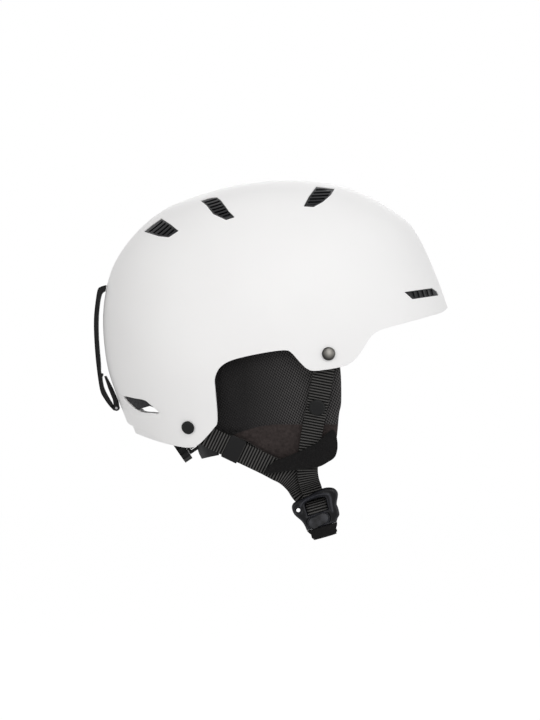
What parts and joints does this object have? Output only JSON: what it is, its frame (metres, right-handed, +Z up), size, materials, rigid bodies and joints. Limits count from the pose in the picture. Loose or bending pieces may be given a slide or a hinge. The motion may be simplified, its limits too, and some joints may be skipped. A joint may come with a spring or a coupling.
{
  "type": "ski helmet",
  "caption": "Hard-shell snow helmet with ribbed vents, foam liner, ear pads, dial fit band, buckled chin harness and a goggle strap clip on the back.",
  "frame": {"origin": "centre of the wearer's head inside the helmet, on the middle plane", "axes": "+X forward, +Y to the wearer's left, +Z up, with the chin harness hanging straight down"},
  "size_m": [0.2824, 0.2122, 0.2875],
  "materials": {
    "shell_white": "matte",
    "liner_foam": "moulded bead foam",
    "black_plastic": "fine texture",
    "webbing": "ribbed webbing",
    "black_fabric": "knit and fleece",
    "gunmetal": "dark plated",
    "steel": "plain",
    "pale_plastic": "plain"
  },
  "bodies": {
    "helmet": {"shell": "shell_white", "eps_liner": "liner_foam", "grille_crown_rear_right": "black_plastic", "grille_crown_rear_left": "black_plastic", "grille_crown_mid_right": "black_plastic", "grille_crown_mid_left": "black_plastic", "grille_crown_front_right": "black_plastic", "grille_crown_front_left": "black_plastic", "grille_brow_right": "black_plastic", "grille_brow_left": "black_plastic", "brow_pad": "black_fabric", "crown_pad": "black_fabric", "side_pad_right": "black_fabric", "side_pad_left": "black_fabric", "rear_pad": "black_fabric", "goggle_clip_base": "black_plastic", "goggle_clip_pin": "steel", "front_rivets": "gunmetal", "rear_rivets": "black_plastic", "rivet_washers": "steel", "front_web_right": "webbing", "front_web_left": "webbing", "rear_web_right": "webbing", "rear_web_left": "webbing", "snap_buttons": "black_plastic", "snap_sockets": "steel", "buckle_female": "black_plastic", "strap_keeper": "black_plastic", "ear_pad_right": "black_fabric", "ear_pad_left": "black_fabric", "ear_band_right": "black_fabric", "ear_band_left": "black_fabric"},
    "fit_cradle": {"fit_cradle": "black_plastic", "nape_pad": "black_fabric"},
    "fit_band_right": {"fit_band_right": "black_plastic"},
    "fit_band_left": {"fit_band_left": "black_plastic"},
    "fit_dial": {"fit_dial": "black_plastic", "dial_pinion": "pale_plastic"},
    "goggle_clip": {"goggle_clip_band": "black_plastic"},
    "buckle_button": {"buckle_button": "black_plastic"},
    "chin": {"buckle_male": "black_plastic", "chin_strap": "webbing", "chin_sleeve": "black_fabric"},
    "adjuster_right": {"strap_adjuster_right": "black_plastic"},
    "adjuster_left": {"strap_adjuster_left": "black_plastic"}
  },
  "joints": [
    {"name": "fit_tilt", "type": "hinge", "parent": "helmet", "child": "fit_cradle", "pos_m": [0.045, 0, -0.012], "axis": [0, 1, 0], "range_deg": [-2.5, 2.5]},
    {"name": "fit_dial_turn", "type": "hinge", "parent": "fit_cradle", "child": "fit_dial", "pos_m": [-0.0624, 0, -0.1049], "axis": [-0.829, 0, -0.5592], "range_deg": [0, 68]},
    {"name": "fit_band_right_draw", "type": "slide", "parent": "fit_cradle", "child": "fit_band_right", "axis": [0, 1, 0], "range_m": [0, 0.006]},
    {"name": "fit_band_left_draw", "type": "slide", "parent": "fit_cradle", "child": "fit_band_left", "axis": [0, -1, 0], "range_m": [0, 0.006]},
    {"name": "goggle_clip_open", "type": "hinge", "parent": "helmet", "child": "goggle_clip", "pos_m": [-0.1146, 0, -0.0784], "axis": [0, -1, 0], "range_deg": [0, 30]},
    {"name": "buckle_button_press", "type": "slide", "parent": "helmet", "child": "buckle_button", "axis": [0, 1, 0], "range_m": [0, 0.0011], "stiffness_N_per_m": 600, "springref_m": -0.0005},
    {"name": "chin_release", "type": "slide", "parent": "helmet", "child": "chin", "axis": [0.2756, 0, -0.9613], "range_m": [0, 0.012]},
    {"name": "strap_adjuster_right_slide", "type": "slide", "parent": "helmet", "child": "adjuster_right", "axis": [0.89, 0.1529, -0.4295], "range_m": [-0.003, 0.008]},
    {"name": "strap_adjuster_left_slide", "type": "slide", "parent": "helmet", "child": "adjuster_left", "axis": [0.89, -0.1529, -0.4295], "range_m": [-0.003, 0.008]}
  ],
  "couplings": [
    {"joint": "fit_band_right_draw", "follows": "fit_dial_turn", "m_per_rad": 0.005},
    {"joint": "fit_band_left_draw", "follows": "fit_dial_turn", "m_per_rad": 0.005}
  ]
}
